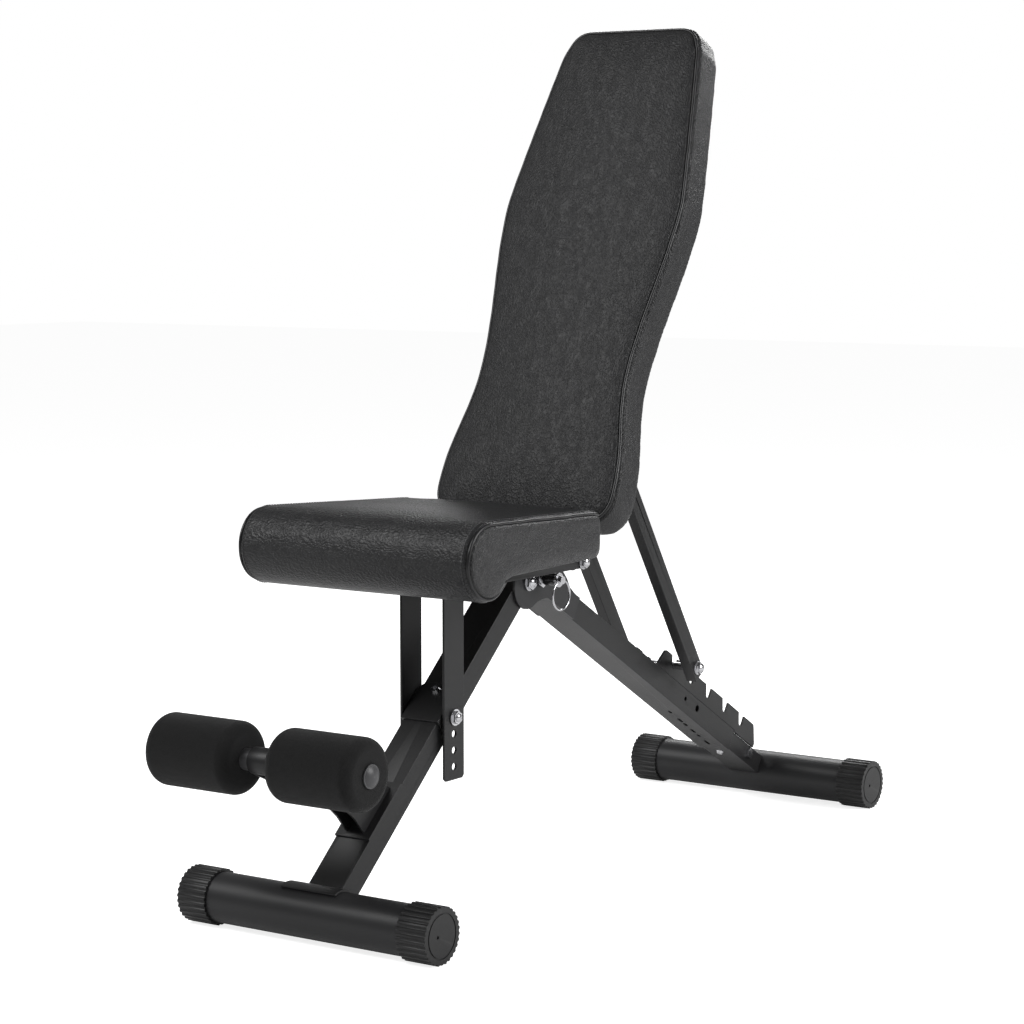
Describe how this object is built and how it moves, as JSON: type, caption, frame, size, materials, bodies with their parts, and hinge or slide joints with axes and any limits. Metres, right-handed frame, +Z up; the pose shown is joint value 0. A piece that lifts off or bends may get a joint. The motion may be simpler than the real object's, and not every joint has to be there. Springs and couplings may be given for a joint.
{
  "type": "adjustable weight bench",
  "caption": "Folding adjustable weight bench with a reclining hourglass backrest, a tilting seat with a rolled front, a notched ladder with a strut, and foam leg rollers.",
  "frame": {"origin": "floor point under the centre of the overall box, bench standing on its two feet", "axes": "+X across the bench towards the sitter's left, where the pull knob is; +Y from the leg rollers to the rear foot; +Z up"},
  "size_m": [0.38, 1.1795, 1.0748],
  "materials": {
    "black_frame": "satin black powder coat",
    "fasteners": "bright plated",
    "grey_tube": "satin",
    "cap_plastic": "moulded, fluted",
    "grip_plastic": "smooth",
    "plug_plastic": "satin",
    "leatherette": "grained, over foam",
    "plywood": "raw",
    "foam": "fine open-cell grain"
  },
  "bodies": {
    "front_frame": {"front_leg": "black_frame", "head_plate_left": "black_frame", "head_plate_right": "black_frame", "front_foot_tube": "black_frame", "front_foot_saddle": "black_frame", "front_cap_left": "cap_plastic", "front_cap_right": "cap_plastic", "post_bracket": "black_frame", "bracket_screw": "fasteners", "post_bolt": "fasteners", "post_bolt_nut": "fasteners", "roller_arm": "black_frame", "roller_tube": "grey_tube", "roller_plug_left": "plug_plastic", "roller_plug_right": "plug_plastic", "fold_bolt": "fasteners", "fold_bolt_nut": "fasteners", "hinge_bolt": "fasteners", "hinge_bolt_nut": "fasteners", "hinge_spacers": "black_frame"},
    "rear_frame": {"rear_leg": "black_frame", "hinge_bracket": "black_frame", "ladder": "black_frame", "rear_socket": "black_frame", "rear_foot_tube": "black_frame", "rear_cap_left": "cap_plastic", "rear_cap_right": "cap_plastic", "socket_bolt": "fasteners", "socket_screw": "fasteners", "pin_housing": "fasteners", "pin_spring": "fasteners"},
    "pull_pin": {"pin_plunger": "fasteners", "pin_knob": "grip_plastic", "pin_knob_cap": "fasteners"},
    "pull_ring": {"pin_ring": "fasteners"},
    "seat": {"seat_pad": "leatherette", "seat_board": "plywood", "seat_rail_left": "black_frame", "seat_rail_right": "black_frame", "seat_screws": "fasteners", "post_pin": "fasteners", "post_pin_spacers": "black_frame"},
    "seat_posts": {"post_left": "black_frame", "post_right": "black_frame"},
    "backrest": {"backrest_pad": "leatherette", "backrest_board": "plywood", "backrest_tube_left": "black_frame", "backrest_tube_right": "black_frame", "backrest_lug_left": "black_frame", "backrest_lug_right": "black_frame", "backrest_screws": "fasteners", "strut_pivot_bolts": "fasteners"},
    "strut": {"strut_bar_left": "black_frame", "strut_bar_right": "black_frame", "strut_rod": "fasteners", "strut_rod_nuts": "fasteners"},
    "left_roller": {"roller_left": "foam"},
    "right_roller": {"roller_right": "foam"}
  },
  "joints": [
    {"name": "fold", "type": "hinge", "parent": "front_frame", "child": "rear_frame", "pos_m": [0, -0.0668, 0.376], "axis": [-1, 0, 0], "range_deg": [0, 85]},
    {"name": "pin_pull", "type": "slide", "parent": "rear_frame", "child": "pull_pin", "axis": [1, 0, 0], "range_m": [0, 0.009], "stiffness_N_per_m": 800, "springref_m": -0.004},
    {"name": "ring_swing", "type": "hinge", "parent": "pull_pin", "child": "pull_ring", "pos_m": [0.0596, -0.04086, 0.37781], "axis": [0, -1, 0], "range_deg": [0, 75]},
    {"name": "seat_tilt", "type": "hinge", "parent": "front_frame", "child": "seat", "pos_m": [0, 0.0072, 0.396], "axis": [-1, 0, 0], "range_deg": [0, 14.56]},
    {"name": "post_swing", "type": "hinge", "parent": "seat", "child": "seat_posts", "pos_m": [0, -0.2318, 0.398], "axis": [1, 0, 0], "range_deg": [0, 12.6]},
    {"name": "backrest_recline", "type": "hinge", "parent": "front_frame", "child": "backrest", "pos_m": [0, 0.0072, 0.396], "axis": [-1, 0, 0], "range_deg": [0, 70]},
    {"name": "strut_swing", "type": "hinge", "parent": "backrest", "child": "strut", "pos_m": [0, 0.0697, 0.55973], "axis": [1, 0, 0], "range_deg": [0, 98.05]},
    {"name": "roller_spin_left", "type": "hinge", "parent": "front_frame", "child": "left_roller", "pos_m": [0.086, -0.5478, 0.224], "axis": [1, 0, 0], "continuous": true},
    {"name": "roller_spin_right", "type": "hinge", "parent": "front_frame", "child": "right_roller", "pos_m": [-0.086, -0.5478, 0.224], "axis": [1, 0, 0], "continuous": true}
  ],
  "couplings": [
    {"joint": "post_swing", "follows": "seat_tilt", "ratio": 0.86484},
    {"joint": "strut_swing", "follows": "backrest_recline", "ratio": 1.4}
  ]
}
